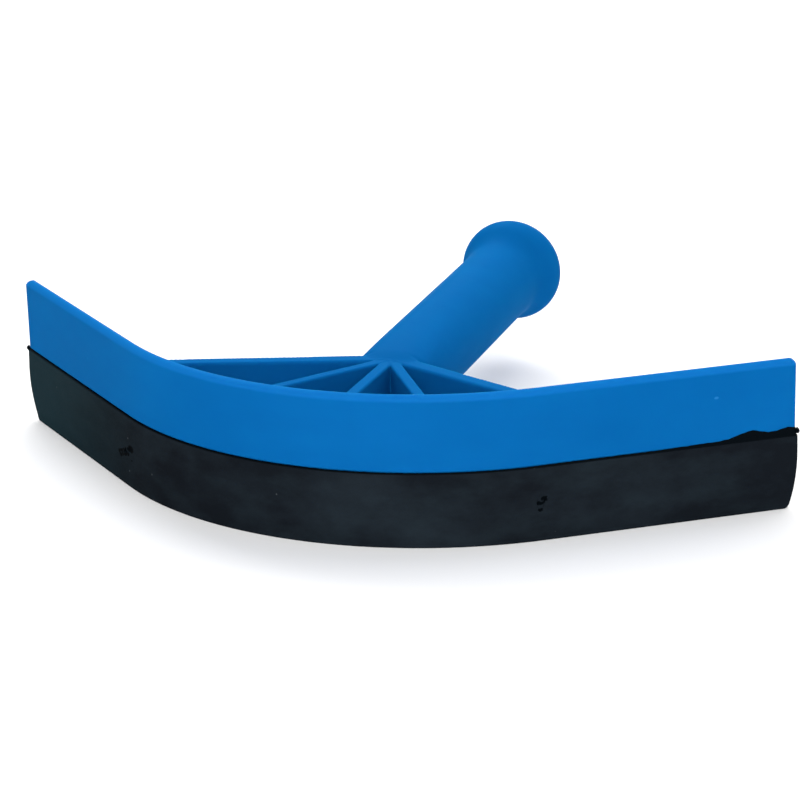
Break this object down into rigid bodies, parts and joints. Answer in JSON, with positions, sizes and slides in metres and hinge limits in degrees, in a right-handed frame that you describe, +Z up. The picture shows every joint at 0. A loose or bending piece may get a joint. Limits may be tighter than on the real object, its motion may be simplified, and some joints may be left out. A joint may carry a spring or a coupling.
{
  "type": "curved squeegee scraper",
  "caption": "Hand scraper: a bowed upright plastic band with a rubber lip along its lower edge, braced by a ribbed fan to a round handle with a swollen end.",
  "frame": {"origin": "bottom centre of the bounding box, with the lip's lower edge on the ground", "axes": "+Z up across the band, +Y towards the handle's end, +X along the band's span"},
  "size_m": [0.2926, 0.2112, 0.0547],
  "materials": {
    "body": "satin moulded polypropylene",
    "lip": "matt moulded rubber"
  },
  "bodies": {
    "root": {"scraper_body": "body", "rubber_lip": "lip"}
  },
  "joints": []
}
